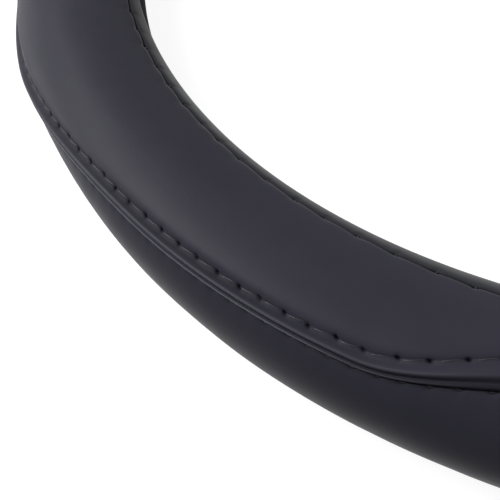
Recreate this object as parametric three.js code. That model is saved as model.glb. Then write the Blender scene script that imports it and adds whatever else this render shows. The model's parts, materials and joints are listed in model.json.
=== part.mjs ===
// A slip-on leather cover for a car steering wheel, lying on its back with its front face up.
//
// From the inside out it is a moulded rubber ring with a C-shaped section that grips the wheel's
// rim, a thin foam padding round it, and a leather skin sewn from panels. Two crescent-shaped
// front panels lap over two outer panels along a topstitched seam, and a binding strip closes
// the skin over each lip of the rubber. Lengths are in millimetres, +Z is up, and the origin is
// on the ring's axis in the plane that the cover rests on.

import * as THREE from 'three';

// The steering wheel's rim that the cover is made for.
const rimRadius = 172.5;        // from the wheel's axis to the middle of the rim
const rimWidth = 27.2;          // of the rim's section, across the wheel's plane
const rimHeight = 23.8;         // of the rim's section, along the wheel's axis
const rimSquareness = 2.3;      // 2 is an ellipse, more is squarer

// The layers, from the rim outwards.
const ribHeight = 0.6;
const rubberWall = 1.5;
const foamThickness = 1.0;
const leatherThickness = 1.2;
const fitGap = 0.3;             // between pieces that touch on the real cover

// The slot in the C-shaped section and the binding that wraps its lips.
const slotHeight = 8.0;
const bindingReturn = 5.5;      // how far the binding runs back inside the slot
const beadLength = 6.0;         // of the rubber's thick lips
const hemWidthAtSide = 5.6;     // from the front binding's seam to the lip, at 3 and 9 o'clock
const hemWidthAtEnd = 12.0;     // the same at 6 and 12 o'clock
const rearHemWidth = 5.6;

// The lapped seam on the front, measured round the section from its outermost point.
const seamAtSide = 3.0;         // the stitch row's place at 3 and 9 o'clock
const seamRisePerDegree = 0.12;
const seamRounding = 6.0;       // degrees over which the row turns at 3 and 9 o'clock
const sideCurve = [8.0, 40.0];  // degrees from 3 or 9 o'clock where the row climbs onto the front
const sideCurveRise = 8.2;
const endCurve = [59.0, 70.0];  // degrees from 3 or 9 o'clock where the row swings inwards
const endPanelWidth = 8.4;      // of the front panel inside the row, at 6 and 12 o'clock
const lapWidth = 3.3;           // from the stitch row to the folded edge
const lapWidening = 3.0;        // of the lap along the inward swing
const foldThickness = 1.5;      // of the folded edge
const tongueThickness = 0.6;    // of the outer panel's thinned edge under the lap
const tongueLength = 2.2;       // past the stitch row
const stitchDip = 0.7;          // how far the stitches pull the foam in
const stitchDipWidth = 1.6;
const padSwell = 1.0;           // extra foam along the front panel's outer edge
const padSwellWidth = 8.0;
const seamTuck = 0.6;           // how far a sewn edge turns down
const seamTuckLength = 1.3;

const restFlat = 0.35;          // how far the leather flattens where it lies on a surface

const ribCount = 6;
const ribSpan = 44.0;           // round the section, on both sides of its outermost point

// How finely the surfaces are divided.
const stepsPerQuarter = 10;
const rearSteps = 9;
const frontSteps = 5;
const coreSteps = 9;
const tableSteps = 720;

// Heights above the rim's surface, each built on the layer below.
const rubberTop = ribHeight + rubberWall;
const foamBottom = rubberTop + fitGap;
const foamTop = foamBottom + foamThickness;
const skinBottom = foamTop + fitGap;
const skinTop = skinBottom + leatherThickness;
const coverHalfHeight = rimHeight / 2 + skinTop - restFlat;

const degrees = Math.PI / 180;

// A point on the rim's rounded section, and the direction that points out of it there.
function rimSection(angle) {
  const power = 2 / rimSquareness;
  const c = Math.cos(angle);
  const s = Math.sin(angle);
  const x = (rimWidth / 2) * Math.sign(c) * Math.abs(c) ** power;
  const z = (rimHeight / 2) * Math.sign(s) * Math.abs(s) ** power;
  const outX = (Math.sign(c) * Math.abs(c) ** (2 - power)) / (rimWidth / 2);
  const outZ = (Math.sign(s) * Math.abs(s) ** (2 - power)) / (rimHeight / 2);
  const length = Math.hypot(outX, outZ);
  return { x, z, outX: outX / length, outZ: outZ / length };
}

// The distance travelled round the outside of the cover, for each angle of the section.
function travelTable() {
  const rows = [];
  let travelled = 0;
  let last = null;
  for (let i = 0; i <= tableSteps; i += 1) {
    const angle = -Math.PI + (2 * Math.PI * i) / tableSteps;
    const place = rimSection(angle);
    const point = [place.x + skinTop * place.outX, place.z + skinTop * place.outZ];
    if (last) travelled += Math.hypot(point[0] - last[0], point[1] - last[1]);
    rows.push({ angle, travelled });
    last = point;
  }
  const middle = rows[tableSteps / 2].travelled;
  return rows.map((row) => ({ angle: row.angle, travelled: row.travelled - middle }));
}

const travel = travelTable();

function angleAtTravel(distance) {
  let low = 0;
  let high = travel.length - 1;
  while (high - low > 1) {
    const middle = Math.floor((low + high) / 2);
    if (travel[middle].travelled <= distance) low = middle;
    else high = middle;
  }
  const share = (distance - travel[low].travelled) / (travel[high].travelled - travel[low].travelled);
  return travel[low].angle + share * (travel[high].angle - travel[low].angle);
}

// A section point is given by its travel round the section and its height above the rim.
function sectionPoint(distance, height) {
  const place = rimSection(angleAtTravel(distance));
  return [place.x + height * place.outX, place.z + height * place.outZ];
}

// The lips of the slot, as travel from the outermost point.
const lipTravel = travel.find(
  (row) => row.angle > Math.PI / 2 && rimSection(row.angle).z < slotHeight / 2,
).travelled;
const beadTop = lipTravel - leatherThickness - fitGap;
const beadStart = beadTop - beadLength;
const foamEdge = beadStart - fitGap;

// The stitch row, the folded edge and the front binding's seam, which all move round the
// section on the way from 3 or 9 o'clock to 6 or 12 o'clock.
function frontHemSeam(fromSide) {
  const share = (1 - Math.cos((fromSide / 90) * Math.PI)) / 2;
  return lipTravel - hemWidthAtSide - (hemWidthAtEnd - hemWidthAtSide) * share;
}

function straightStitchRow(fromSide) {
  return seamAtSide + seamRisePerDegree * Math.hypot(fromSide, seamRounding);
}

// The share of a curve that the row has covered, from 0 to 1 with a soft start and end.
function alongCurve(fromSide, [start, end]) {
  const share = Math.min(1, Math.max(0, (fromSide - start) / (end - start)));
  return share * share * (3 - 2 * share);
}

const endCurveRise = frontHemSeam(90) - endPanelWidth - straightStitchRow(90) - sideCurveRise;

function stitchRow(fromSide) {
  const climb = sideCurveRise * alongCurve(fromSide, sideCurve);
  return straightStitchRow(fromSide) + climb + endCurveRise * alongCurve(fromSide, endCurve);
}

function lapAt(fromSide) {
  return lapWidth + lapWidening * alongCurve(fromSide, endCurve);
}

function foldedEdge(fromSide) {
  return stitchRow(fromSide) - lapAt(fromSide);
}

// How far the foam's face stands off its even thickness: fuller beside the lap, pulled in
// along the stitch row, and even again before it reaches the rubber's lips.
function foamSwell(distance, fromSide) {
  const beside = (distance - foldedEdge(fromSide) - lapAt(fromSide) / 2) / padSwellWidth;
  const along = (distance - stitchRow(fromSide)) / stitchDipWidth;
  const edgeFade = Math.min(1, Math.max(0, (foamEdge - Math.abs(distance)) / padSwellWidth));
  return (padSwell * Math.exp(-(beside ** 2)) - stitchDip * Math.exp(-(along ** 2))) * edgeFade;
}

function between(start, end, steps) {
  return Array.from({ length: steps + 1 }, (_, i) => start + ((end - start) * i) / steps);
}

// Travels where the padding and the inside of the skin have their corners, so that the two
// follow each other at an even gap. The lap's own corners lie between the two plain stretches.
function rearCorners(fromSide) {
  return between(-foamEdge, foldedEdge(fromSide) - fitGap, rearSteps);
}

function lapCorners(fromSide) {
  const row = stitchRow(fromSide);
  return [row - lapAt(fromSide) / 2, row];
}

function frontCorners(fromSide) {
  const start = stitchRow(fromSide) + tongueLength + fitGap;
  const end = Math.min(frontHemSeam(fromSide) - 2 * seamTuckLength, foamEdge - fitGap);
  return between(start, end, frontSteps);
}

function paddingCorners(fromSide) {
  return [...rearCorners(fromSide), ...lapCorners(fromSide), ...frontCorners(fromSide), foamEdge];
}

// Each section below lists [travel, height] corners, outer face first and then back inside.

// The rubber ring: ribs inside, an even back, and thick lips that the bindings wrap.
function gripSection() {
  const pitch = ribSpan / ribCount;
  const ribs = [];
  for (let i = 0; i < ribCount; i += 1) {
    const start = ribSpan / 2 - i * pitch;
    ribs.push([start, ribHeight], [start - pitch / 2, 0]);
  }
  ribs.push([-ribSpan / 2, ribHeight]);
  const lip = [
    [beadStart, rubberTop],
    [beadStart, foamTop],
    [beadTop, foamTop],
    [beadTop, leatherThickness + fitGap],
    [beadStart + fitGap, leatherThickness + fitGap],
    [beadStart - fitGap, ribHeight],
  ];
  const back = between(-foamEdge, foamEdge, coreSteps).slice(1, -1);
  return [
    ...lip.slice(0, 3).reverse().map(([distance, height]) => [-distance, height]),
    ...back.map((distance) => [distance, rubberTop]),
    ...lip,
    [(beadStart + ribSpan / 2) / 2, ribHeight],
    ...ribs,
    [-(beadStart + ribSpan / 2) / 2, ribHeight],
    ...lip.slice(3).reverse().map(([distance, height]) => [-distance, height]),
  ];
}

function foamSection(fromSide) {
  const face = paddingCorners(fromSide).map((distance) => [
    distance,
    foamTop + foamSwell(distance, fromSide),
  ]);
  const back = between(foamEdge, -foamEdge, coreSteps).map((distance) => [distance, foamBottom]);
  return [...face, ...back];
}

// A leather face at a height over the foam.
function overFoam(distance, fromSide, height) {
  return [distance, foamTop + foamSwell(distance, fromSide) + height];
}

// The outer panel: from the rear binding round the outside, then thinned under the lap.
function outerPanelSection(fromSide) {
  const rearSeam = -(lipTravel - rearHemWidth) + fitGap / 2;
  const fold = foldedEdge(fromSide) - fitGap;
  const tongueTip = stitchRow(fromSide) + tongueLength - fitGap;
  const full = fitGap + leatherThickness;
  const thinned = fitGap + tongueThickness;
  const corners = rearCorners(fromSide).filter((distance) => distance > rearSeam + seamTuckLength);
  const plain = corners.slice(0, -1);
  const face = [
    overFoam(rearSeam, fromSide, full - seamTuck),
    overFoam(rearSeam + seamTuckLength, fromSide, full),
    ...plain.slice(plain.length - (rearSteps - 1)).map((distance) => overFoam(distance, fromSide, full)),
    overFoam(fold - seamTuck, fromSide, full),
    overFoam(fold, fromSide, thinned),
    ...lapCorners(fromSide).map((distance) => overFoam(distance, fromSide, thinned)),
    overFoam(tongueTip, fromSide, thinned),
  ];
  const inside = [
    tongueTip,
    ...lapCorners(fromSide).reverse(),
    ...rearCorners(fromSide).reverse(),
    rearSeam,
  ];
  return { face, inside: inside.map((distance) => overFoam(distance, fromSide, fitGap)) };
}

// The front panel: a folded edge over the outer panel's tongue, the sunk stitch row, and a
// padded face up to the binding.
function frontPanelSection(fromSide) {
  const row = stitchRow(fromSide);
  const fold = foldedEdge(fromSide);
  const hemSeam = frontHemSeam(fromSide) - fitGap / 2;
  const overTongue = 2 * fitGap + tongueThickness;
  const full = fitGap + leatherThickness;
  const lapTop = overTongue + foldThickness;
  const lapMiddle = row - lapAt(fromSide) / 2;
  const plain = frontCorners(fromSide);
  const face = [
    [fold, overTongue + foldThickness * 0.35],
    [fold + foldThickness * 0.4, overTongue + foldThickness * 0.85],
    [lapMiddle, lapTop],
    [row - stitchDipWidth * 0.6, overTongue + leatherThickness],
    [row, overTongue + leatherThickness / 2],
    [row + stitchDipWidth * 0.6, overTongue + leatherThickness],
    [plain[0], overTongue + leatherThickness * 0.9],
    ...plain.slice(1).map((distance) => [distance, full]),
    [hemSeam - seamTuckLength, full],
    [hemSeam, full - seamTuck],
  ];
  const inside = [
    [hemSeam, fitGap],
    ...plain.slice(1).reverse().map((distance) => [distance, fitGap]),
    [plain[0] + 2 * fitGap, fitGap],
    [plain[0] - fitGap / 2, overTongue],
    [row, overTongue],
    [lapMiddle, overTongue],
    [fold, overTongue],
  ];
  const rise = ([distance, height]) => overFoam(distance, fromSide, height);
  return [...face.map(rise), ...inside.map(rise)];
}

// A binding: from its seam over the lip, round the nose and back inside the slot.
function bindingSection(seamTravel) {
  const start = seamTravel + fitGap / 2;
  const nose = lipTravel;
  const corner = leatherThickness;
  const hem = between(start + seamTuckLength, nose - corner, 2);
  const inner = nose - corner;
  return [
    [start, skinTop - seamTuck],
    ...hem.map((distance) => [distance, skinTop]),
    [nose - corner * 0.25, skinTop - corner * 0.75],
    [nose, skinTop / 2],
    [nose - corner * 0.25, corner * 0.75],
    [nose - corner, 0],
    [nose - bindingReturn, 0],
    [nose - bindingReturn, leatherThickness],
    [inner, leatherThickness],
    [inner, skinBottom],
    [hem[1], skinBottom],
    [start, skinBottom],
  ];
}

// Degrees from 3 or 9 o'clock, whichever is nearer, for a station round the ring.
function degreesFromSide(station) {
  const turn = Math.abs(station) % 180;
  return Math.min(turn, 180 - turn);
}

function apart(a, b) {
  return Math.hypot(a[0] - b[0], a[1] - b[1], a[2] - b[2]);
}

// Lofts a section round the ring. The section may change from station to station, but its
// corners keep their order. Each bay is split along its shorter diagonal, so that nested faces
// fold the same way. An open run of stations is closed by a cap at each end.
function loft(stations, closed, cornersAt) {
  const sections = stations.map((station) =>
    cornersAt(station).map(([x, z]) => {
      const radius = rimRadius + x;
      return {
        flat: new THREE.Vector2(x, z),
        place: [
          radius * Math.cos(station * degrees),
          radius * Math.sin(station * degrees),
          z + coverHalfHeight,
        ],
      };
    }),
  );
  const corners = sections[0].length;
  const places = sections.flat().map((corner) => corner.place);
  const index = [];
  const bays = closed ? stations.length : stations.length - 1;
  for (let bay = 0; bay < bays; bay += 1) {
    const here = bay * corners;
    const next = ((bay + 1) % stations.length) * corners;
    for (let i = 0; i < corners; i += 1) {
      const j = (i + 1) % corners;
      const [a, b, c, d] = [here + i, here + j, next + j, next + i];
      if (apart(places[a], places[c]) < apart(places[b], places[d])) index.push(a, d, c, a, c, b);
      else index.push(a, d, b, b, d, c);
    }
  }
  if (!closed) {
    const last = (stations.length - 1) * corners;
    const capOf = (section) => THREE.ShapeUtils.triangulateShape(section.map((corner) => corner.flat), []);
    capOf(sections[0]).forEach(([a, b, c]) => index.push(a, b, c));
    capOf(sections[stations.length - 1]).forEach(([a, b, c]) => index.push(last + a, last + c, last + b));
  }
  const geometry = new THREE.BufferGeometry();
  geometry.setAttribute('position', new THREE.Float32BufferAttribute(places.flat(), 3));
  geometry.setIndex(index);
  geometry.computeVertexNormals();
  return geometry;
}

const ringStations = between(-90, 270, 4 * stepsPerQuarter).slice(0, -1);

// One side of the ring, from 6 to 12 o'clock, less half the gap of the cross seam at each end.
function sideStations(middle) {
  const gap = fitGap / 2 / rimRadius / degrees;
  const stations = between(middle - 90, middle + 90, 2 * stepsPerQuarter);
  stations[0] += gap;
  stations[stations.length - 1] -= gap;
  return stations;
}

function placed(section) {
  return section.map(([distance, height]) => sectionPoint(distance, height));
}

// The outer face of the outer panel is flattened where the cover rests.
function restedOuterPanel(station) {
  const { face, inside } = outerPanelSection(degreesFromSide(station));
  const floor = -coverHalfHeight;
  return [...placed(face).map(([x, z]) => [x, Math.max(z, floor)]), ...placed(inside)];
}

const leather = new THREE.MeshStandardMaterial({ color: 0x232327, roughness: 0.5, metalness: 0 });
const bindingLeather = new THREE.MeshStandardMaterial({ color: 0x28282c, roughness: 0.5, metalness: 0 });
const foam = new THREE.MeshStandardMaterial({ color: 0x55554f, roughness: 0.95, metalness: 0 });
const rubber = new THREE.MeshStandardMaterial({ color: 0x19191b, roughness: 0.75, metalness: 0 });

const group = new THREE.Group();

function add(name, geometry, material) {
  const mesh = new THREE.Mesh(geometry, material);
  mesh.name = name;
  group.add(mesh);
}

function mirrored(section) {
  return section.map(([distance, height]) => [-distance, height]).reverse();
}

add('grip_ring', loft(ringStations, true, () => placed(gripSection())), rubber);
add('foam_padding', loft(ringStations, true, (station) => placed(foamSection(degreesFromSide(station)))), foam);
add(
  'front_binding',
  loft(ringStations, true, (station) => placed(bindingSection(frontHemSeam(degreesFromSide(station))))),
  bindingLeather,
);
add(
  'rear_binding',
  loft(ringStations, true, () => placed(mirrored(bindingSection(lipTravel - rearHemWidth)))),
  bindingLeather,
);
for (const [side, middle] of [['right', 0], ['left', 180]]) {
  const stations = sideStations(middle);
  add(
    `front_panel_${side}`,
    loft(stations, false, (station) => placed(frontPanelSection(degreesFromSide(station)))),
    leather,
  );
  add(`outer_panel_${side}`, loft(stations, false, restedOuterPanel), leather);
}

export default group;
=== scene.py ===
# %% [markdown]
# # A leather cover for a car steering wheel
#
# The object is a slip-on cover that lies on a white table: a ring about 38 cm across with a
# C-shaped section. A moulded rubber ring grips the wheel's rim, a thin foam goes round it, and
# a skin of black leather panels is sewn over both. The photograph looks closely at about a
# sixth of the front face. The frame loaded here holds the same eight pieces as plain solids.
# The fine pieces below stand in the same places, with the folds, seams and stitches that the
# plain solids leave out.

# %% Load the fixed frame
import json
import math

import bpy
import numpy as np
from mathutils import Matrix, Vector

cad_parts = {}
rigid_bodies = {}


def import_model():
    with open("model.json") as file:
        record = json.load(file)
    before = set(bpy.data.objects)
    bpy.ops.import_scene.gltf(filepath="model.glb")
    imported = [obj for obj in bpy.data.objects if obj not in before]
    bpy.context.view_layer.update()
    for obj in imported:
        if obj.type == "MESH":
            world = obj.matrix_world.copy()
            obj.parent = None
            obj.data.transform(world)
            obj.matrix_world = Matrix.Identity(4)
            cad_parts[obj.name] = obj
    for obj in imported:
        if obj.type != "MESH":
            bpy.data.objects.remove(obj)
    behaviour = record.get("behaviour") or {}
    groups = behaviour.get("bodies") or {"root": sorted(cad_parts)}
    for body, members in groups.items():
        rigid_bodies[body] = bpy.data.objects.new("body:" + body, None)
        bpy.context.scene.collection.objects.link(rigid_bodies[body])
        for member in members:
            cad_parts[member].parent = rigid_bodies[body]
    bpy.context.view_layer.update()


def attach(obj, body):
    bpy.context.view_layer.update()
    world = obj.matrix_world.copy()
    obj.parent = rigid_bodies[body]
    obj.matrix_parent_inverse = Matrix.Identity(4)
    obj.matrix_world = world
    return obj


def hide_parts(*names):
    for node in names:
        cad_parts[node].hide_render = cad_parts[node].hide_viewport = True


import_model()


def add_object(name, data):
    """A new object at the origin, linked into the scene."""
    made = bpy.data.objects.new(name, data)
    bpy.context.collection.objects.link(made)
    return made


# %% [markdown]
# ## The camera
#
# The section was chosen first, 37 by 34 mm. A ring with that section was then matched to points
# marked on the two outlines, the stitch row and the inner seam, to find where the camera stood:
# close, above the lower left of the ring, and rolled a little. Slimmer sections with longer
# lenses fit about as well, so this place and these angles are one answer out of several.

# %% Camera
CAMERA_PLACE = (-0.0958, -0.2027, 0.1457)
CAMERA_AZIMUTH = math.radians(15.0)
CAMERA_ELEVATION = math.radians(58.06)
CAMERA_ROLL = math.radians(-16.76)
CAMERA_LENS, CAMERA_SENSOR = 47.63, 36

camera_data = bpy.data.cameras.new("camera")
camera_data.lens, camera_data.sensor_width = CAMERA_LENS, CAMERA_SENSOR
camera_data.clip_start = 0.01
camera = add_object("camera", camera_data)
back = Vector((
    math.sin(CAMERA_AZIMUTH) * math.cos(CAMERA_ELEVATION),
    -math.cos(CAMERA_AZIMUTH) * math.cos(CAMERA_ELEVATION),
    math.sin(CAMERA_ELEVATION),
))
right = Vector((0, 0, 1)).cross(back).normalized()
above = back.cross(right)
turn_right = right * math.cos(CAMERA_ROLL) + above * math.sin(CAMERA_ROLL)
turn_above = above * math.cos(CAMERA_ROLL) - right * math.sin(CAMERA_ROLL)
axes = Matrix((turn_right, turn_above, back)).transposed().to_4x4()
camera.matrix_world = Matrix.Translation(CAMERA_PLACE) @ axes
bpy.context.scene.camera = camera
print("camera at", CAMERA_PLACE)

# %% [markdown]
# ## Sizes
#
# A maker of such a cover works from the rim that it has to grip. Every height below is counted
# in millimetres outwards from that rim's surface, and every place round the section is a
# *travel*: the distance walked on the outside of the cover, from its outermost point, positive
# towards the front face. These are the sizes of the plain solids.

# %% Sizes of the rim and the layers
MM = 0.001
RIM_RADIUS, RIM_WIDTH, RIM_HEIGHT, RIM_SQUARENESS = 172.5, 27.2, 23.8, 2.3
RIB_HEIGHT, RUBBER_WALL, FOAM_THICKNESS, LEATHER, GAP = 0.6, 1.5, 1.0, 1.2, 0.3
SLOT_HEIGHT, BINDING_RETURN, BEAD_LENGTH = 8.0, 5.5, 6.0
HEM_AT_SIDE, HEM_AT_END, REAR_HEM = 5.6, 12.0, 5.6
SEAM_AT_SIDE, SEAM_RISE, SEAM_ROUNDING = 3.0, 0.12, 6.0
SIDE_CURVE, SIDE_CURVE_RISE = (8.0, 40.0), 8.2
END_CURVE, END_PANEL = (59.0, 70.0), 8.4
LAP, LAP_WIDENING = 3.3, 3.0
TONGUE, TONGUE_LENGTH = 0.6, 2.2
STITCH_DIP, STITCH_DIP_WIDTH, PAD_SWELL, PAD_SWELL_WIDTH = 0.7, 1.6, 1.0, 8.0
SIDE_SWELL, SIDE_SWELL_CURVE = 0.9, (18.0, 32.0)
REST_FLAT = 0.35
RIB_COUNT, RIB_SPAN = 6, 44.0

RUBBER_TOP = RIB_HEIGHT + RUBBER_WALL
FOAM_BOTTOM = RUBBER_TOP + GAP
FOAM_TOP = FOAM_BOTTOM + FOAM_THICKNESS
SKIN_BOTTOM = FOAM_TOP + GAP
SKIN_TOP = SKIN_BOTTOM + LEATHER
HALF_HEIGHT = RIM_HEIGHT / 2 + SKIN_TOP - REST_FLAT


def rim_section(angle):
    """The rim's rounded section: places across and up, and the direction out of it."""
    c, s = np.cos(angle), np.sin(angle)
    power = 2 / RIM_SQUARENESS
    x = RIM_WIDTH / 2 * np.sign(c) * np.abs(c) ** power
    z = RIM_HEIGHT / 2 * np.sign(s) * np.abs(s) ** power
    out_x = np.sign(c) * np.abs(c) ** (2 - power) / (RIM_WIDTH / 2)
    out_z = np.sign(s) * np.abs(s) ** (2 - power) / (RIM_HEIGHT / 2)
    length = np.hypot(out_x, out_z)
    return x, z, out_x / length, out_z / length


table_angle = np.linspace(-np.pi, np.pi, 721)
sx, sz, nx, nz = rim_section(table_angle)
steps = np.hypot(np.diff(sx + SKIN_TOP * nx), np.diff(sz + SKIN_TOP * nz))
table_travel = np.concatenate([[0], np.cumsum(steps)])
table_travel -= table_travel[360]
past_top = (table_angle > np.pi / 2) & (sz < SLOT_HEIGHT / 2)
LIP = float(table_travel[np.argmax(past_top)])
BEAD_TOP = LIP - LEATHER - GAP
BEAD_START = BEAD_TOP - BEAD_LENGTH
FOAM_EDGE = BEAD_START - GAP
print(f"half way round the section {table_travel[-1]:.1f} mm, the lips at {LIP:.1f} mm")

# %% [markdown]
# ## The seams' paths
#
# The topstitched edge of a front panel starts near the outermost line of the ring at 3 and 9
# o'clock and climbs onto the front. It then keeps nearly the same distance from the outside,
# until it swings inwards two thirds of the way to 6 and 12 o'clock, where the lap grows wider.
# The seam of the front binding also moves inwards on that way. All are simple rules of the
# angle from 3 or 9 o'clock.

# %% Seam paths
def from_side(theta):
    turn = np.abs(theta) % 180
    return np.minimum(turn, 180 - turn)


def front_hem_seam(side):
    return LIP - HEM_AT_SIDE - (HEM_AT_END - HEM_AT_SIDE) * (1 - np.cos(side / 90 * np.pi)) / 2


def straight_row(side):
    return SEAM_AT_SIDE + SEAM_RISE * np.hypot(side, SEAM_ROUNDING)


def along_curve(side, ends):
    """The share of a curve that the row has covered, with a soft start and end."""
    share = np.clip((side - ends[0]) / (ends[1] - ends[0]), 0, 1)
    return share * share * (3 - 2 * share)


END_RISE = front_hem_seam(90.0) - END_PANEL - straight_row(90.0) - SIDE_CURVE_RISE


def stitch_row(side):
    climb = SIDE_CURVE_RISE * along_curve(side, SIDE_CURVE)
    return straight_row(side) + climb + END_RISE * along_curve(side, END_CURVE)


def lap_at(side):
    return LAP + LAP_WIDENING * along_curve(side, END_CURVE)


def folded_edge(side):
    return stitch_row(side) - lap_at(side)


def foam_swell(travel, side):
    """How far the foam stands off its even thickness beside and along the stitch row."""
    beside = (travel - folded_edge(side) - lap_at(side) / 2) / PAD_SWELL_WIDTH
    along = (travel - stitch_row(side)) / STITCH_DIP_WIDTH
    fade = np.clip((FOAM_EDGE - np.abs(travel)) / PAD_SWELL_WIDTH, 0, 1)
    pad = PAD_SWELL + SIDE_SWELL * (1 - along_curve(side, SIDE_SWELL_CURVE))
    return (pad * np.exp(-(beside**2)) - STITCH_DIP * np.exp(-(along**2))) * fade


# %% [markdown]
# ## From a flat pattern to a place in space
#
# All the soft pieces are lofts: rows of points across the section, one row for each station
# round the ring. One helper turns travel, height and station into a place, and another joins
# the rows to a closed mesh with its faces pointing outwards.

# %% Lofting helpers
def place(theta, travel, height):
    angle = np.interp(travel, table_travel, table_angle)
    x, z, out_x, out_z = rim_section(angle)
    radius = RIM_RADIUS + x + height * out_x
    rise = z + height * out_z + HALF_HEIGHT
    turn = np.radians(theta)
    return np.stack([radius * np.cos(turn), radius * np.sin(turn), rise], axis=-1) * MM


def loft(name, places, closed, **values):
    """places is stations x corners x 3, corners in order round the section."""
    stations, corners = places.shape[:2]
    here = np.arange(stations if closed else stations - 1)[:, None] * corners
    after = (here + corners) % (stations * corners)
    i = np.arange(corners)[None, :]
    j = (i + 1) % corners
    quads = np.stack([here + i, after + i, after + j, here + j], axis=-1).reshape(-1, 4)
    faces = [tuple(q) for q in quads.tolist()]
    if not closed:
        faces.append(tuple(range(corners)))
        last = (stations - 1) * corners
        faces.append(tuple(last + k for k in reversed(range(corners))))
    mesh = bpy.data.meshes.new(name)
    mesh.from_pydata(places.reshape(-1, 3).tolist(), [], faces)
    mesh.shade_smooth()
    for key, value in values.items():
        layer = mesh.attributes.new(key, "FLOAT", "POINT")
        layer.data.foreach_set("value", value.reshape(-1).astype(np.float32))
    mesh.update()
    piece = add_object(name, mesh)
    print(f"{name}: {stations} stations x {corners} corners, {2 * len(quads)} triangles")
    return piece


def curve_through(points, at):
    """A smooth curve through (place, value) points, without overshoot."""
    x, y = np.array(points, float).T
    slope = np.diff(y) / np.diff(x)
    tangent = np.zeros_like(y)
    same = slope[1:] * slope[:-1] > 0
    mean = 2 * slope[1:] * slope[:-1] / np.where(same, slope[1:] + slope[:-1], 1)
    tangent[1:-1] = np.where(same, mean, 0)
    at = np.clip(at, x[0], x[-1])
    k = np.clip(np.searchsorted(x, at, side="right") - 1, 0, len(x) - 2)
    h = x[k + 1] - x[k]
    t = (at - x[k]) / h
    return (
        (1 + 2 * t) * (1 - t) ** 2 * y[k] + t * (1 - t) ** 2 * h * tangent[k]
        + t**2 * (3 - 2 * t) * y[k + 1] - t**2 * (1 - t) * h * tangent[k + 1]
    )


# %% [markdown]
# ## How the stitches pull the leather
#
# Each needle hole of the topstitching is a small pit with a wider pucker round it, and the
# leather rises in a low pillow between two holes. The seam of the front binding runs in short
# slanting arcs, each from one stitch to the next. These marks repeat at an even pitch, with
# a little chance in each, drawn from a fixed seed.

# %% Stitch marks
def hump(at, middle, width):
    """A smooth hump, 1 at its middle."""
    return np.exp(-(((at - middle) / width) ** 2))


def dent(along, length, across, width):
    """A smooth dent, 1 at its middle, with its own length and width."""
    return np.exp(-((along / length) ** 2) - (across / width) ** 2)


ROW_RADIUS, HEM_RADIUS, JOIN_RADIUS = 186.0, 159.0, 189.0
ROW_FIRST, ROW_COUNT = 204.2, 204
HEM_FIRST, HEM_COUNT = 219.95, 120
JOIN_COUNT = 250
chance = np.random.default_rng(7)


class Marks:
    """Stitches at an even pitch round the ring, each a little off its place."""

    def __init__(self, first, count, radius, wander, across):
        self.first, self.count, self.radius = first, count, radius
        self.pitch = 360 / count
        self.late = chance.normal(0, wander, count).clip(-2 * wander, 2 * wander)
        self.aside = chance.normal(0, across, count).clip(-2 * across, 2 * across)
        self.force = chance.uniform(0.72, 1.15, count)

    def nearest(self, theta):
        """Millimetres along the ring to the nearest stitch, its sideways slip and its force."""
        k = np.round((theta - self.first) / self.pitch).astype(int) % self.count
        gap = (theta - self.first - k * self.pitch + 180) % 360 - 180
        along = np.radians(gap) * self.radius - self.late[k]
        return along, self.aside[k], self.force[k]

    def angles(self):
        late = np.degrees(self.late / self.radius)
        return self.first + self.pitch * np.arange(self.count) + late


row_marks = Marks(ROW_FIRST, ROW_COUNT, ROW_RADIUS, 0.32, 0.16)
hem_marks = Marks(HEM_FIRST, HEM_COUNT, HEM_RADIUS, 0.30, 0.08)
rear_marks = Marks(HEM_FIRST - 1.2, HEM_COUNT, HEM_RADIUS, 0.25, 0.06)
join_marks = Marks(ROW_FIRST + 0.5, JOIN_COUNT, JOIN_RADIUS, 0.40, 0.08)
print(f"topstitch pitch {row_marks.pitch * math.radians(1) * ROW_RADIUS:.2f} mm")


def hem_wave(theta, marks, size=0.42):
    """The seam line's slant between stitches, which springs back at each stitch."""
    phase = ((theta - marks.first) / marks.pitch) % 1.0
    spring = 0.12
    saw = np.where(phase < 1 - spring, phase / (1 - spring), (1 - phase) / spring)
    return size * (0.5 - saw)


# %% [markdown]
# ## The front panels
#
# This is what the photograph shows most. From its folded edge inwards a front panel has a thin
# rolled lip, a shallow valley, a padded crown over the seam allowance, the sunk stitch row with
# its needle holes, a plain padded face and an edge that tucks into the binding's seam. Leather
# that is sewn tight over a stiff form has no room to sag, so no cloth simulation is run: the
# skin is lofted from heights given as a profile, and is the same each run. A
# photograph gives no heights, so they were changed until light and dark fell in its places.

# %% Front panel
LAP_PROFILE = [
    (-1.0, 1.55), (-0.99, 1.92), (-0.97, 2.20), (-0.94, 2.36), (-0.91, 2.38), (-0.88, 2.26),
    (-0.85, 2.08), (-0.815, 1.96), (-0.78, 1.97), (-0.74, 2.16), (-0.69, 2.48), (-0.64, 2.76),
    (-0.58, 2.86), (-0.52, 2.78), (-0.46, 2.58), (-0.38, 2.28), (-0.30, 2.05), (-0.20, 1.90),
    (-0.10, 1.82), (0.0, 1.79), (0.25, 1.88), (0.6, 1.98), (1.2, 2.03), (3.0, 1.90),
    (4.5, 1.74), (6.5, 1.56), (8.5, 1.50), (200.0, 1.50),
]
EDGE_PROFILE = [
    (0.0, -0.95), (0.06, -0.62), (0.16, -0.42), (0.35, -0.24), (0.65, -0.10), (1.1, -0.02),
    (1.6, 0.0), (200.0, 0.0),
]
DIP_FILLED = (16.0, 36.0)
WIDE_VALLEY = (62.0, 77.0)
SWING = (54.0, 70.0)
HOLE_SLANT = 0.45


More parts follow.
